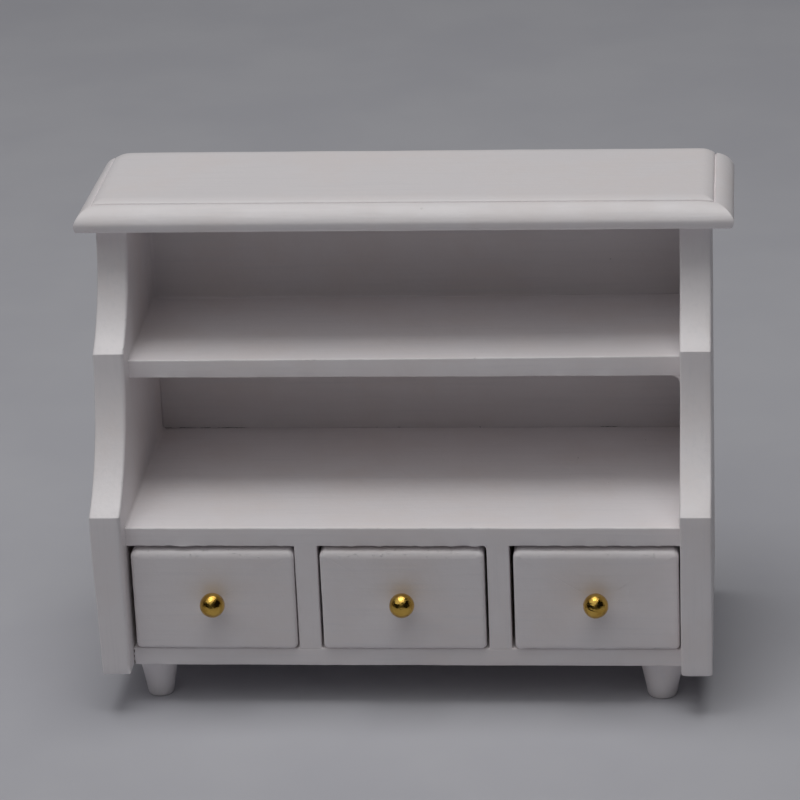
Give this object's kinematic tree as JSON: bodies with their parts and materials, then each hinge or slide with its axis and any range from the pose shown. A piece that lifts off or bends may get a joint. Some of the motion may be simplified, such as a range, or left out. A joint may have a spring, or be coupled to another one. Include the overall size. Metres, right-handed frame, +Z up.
{
  "type": "dolls house dresser",
  "caption": "Miniature white painted dresser with open stepped shelves above small drawers, scooped sides, moulded top and turned feet.",
  "frame": {"origin": "under the middle of the whole piece, on the surface its feet stand on", "axes": "+X to the right of someone facing it, +Y to its back, +Z up; the drawers open along -Y"},
  "size_m": [0.0846, 0.04, 0.0641],
  "materials": {
    "white_paint": "soft white satin brush paint over wood",
    "back_paint": "thinner white satin brush paint over thin board",
    "bare_wood": "bare sanded light wood",
    "knob_gold": "polished gold-coloured plate"
  },
  "bodies": {
    "carcass": {"top_board": "white_paint", "side_panel_left": "white_paint", "side_panel_right": "white_paint", "back_panel": "back_paint", "bottom_board": "white_paint", "lower_shelf": "white_paint", "mid_shelf": "white_paint", "divider_left": "white_paint", "divider_right": "white_paint", "foot_front_left": "white_paint", "foot_front_right": "white_paint", "foot_back_left": "white_paint", "foot_back_right": "white_paint"},
    "drawer_left": {"drawer_left_front": "white_paint", "drawer_left_knob": "knob_gold", "drawer_left_side_left": "bare_wood", "drawer_left_side_right": "bare_wood", "drawer_left_back": "bare_wood", "drawer_left_bottom": "bare_wood"},
    "drawer_centre": {"drawer_centre_front": "white_paint", "drawer_centre_knob": "knob_gold", "drawer_centre_side_left": "bare_wood", "drawer_centre_side_right": "bare_wood", "drawer_centre_back": "bare_wood", "drawer_centre_bottom": "bare_wood"},
    "drawer_right": {"drawer_right_front": "white_paint", "drawer_right_knob": "knob_gold", "drawer_right_side_left": "bare_wood", "drawer_right_side_right": "bare_wood", "drawer_right_back": "bare_wood", "drawer_right_bottom": "bare_wood"}
  },
  "joints": [
    {"name": "drawer_left_slide", "type": "slide", "parent": "carcass", "child": "drawer_left", "axis": [0, -1, 0], "range_m": [0, 0.027]},
    {"name": "drawer_centre_slide", "type": "slide", "parent": "carcass", "child": "drawer_centre", "axis": [0, -1, 0], "range_m": [0, 0.027]},
    {"name": "drawer_right_slide", "type": "slide", "parent": "carcass", "child": "drawer_right", "axis": [0, -1, 0], "range_m": [0, 0.027]}
  ]
}
